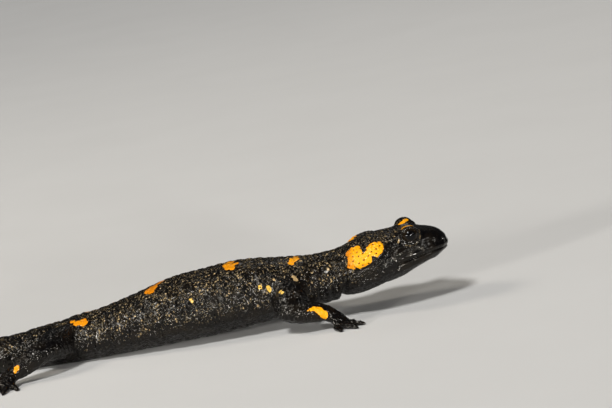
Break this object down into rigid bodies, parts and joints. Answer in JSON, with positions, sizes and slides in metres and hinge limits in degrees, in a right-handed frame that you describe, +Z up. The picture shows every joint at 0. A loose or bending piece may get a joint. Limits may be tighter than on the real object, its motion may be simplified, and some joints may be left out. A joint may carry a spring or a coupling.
{
  "type": "fire salamander model",
  "caption": "Life-size fire salamander with its head raised, belly and tail on the floor: glossy black skin with yellow-orange gland patches and spots.",
  "frame": {"origin": "on the floor, under the middle of the bounding box", "axes": "+X towards the snout, along the length of the animal; +Y to the animal's left; +Z up"},
  "size_m": [0.1746, 0.0498, 0.0184],
  "materials": {
    "skin": "moist glossy black skin with yellow-orange gland patches and spots and fine pale specks",
    "eye": "wet, nearly black, mirror-smooth"
  },
  "bodies": {
    "root": {"head": "skin", "lower_jaw": "skin", "right_eye": "eye", "left_eye": "eye", "neck": "skin", "trunk_front": "skin", "trunk_middle": "skin", "trunk_rear": "skin", "tail_base": "skin", "tail_middle": "skin", "tail_tip": "skin", "right_upper_arm": "skin", "right_forearm": "skin", "right_hand": "skin", "left_upper_arm": "skin", "left_forearm": "skin", "left_hand": "skin", "right_thigh": "skin", "right_shin": "skin", "right_foot": "skin", "left_thigh": "skin", "left_shin": "skin", "left_foot": "skin"}
  },
  "joints": []
}
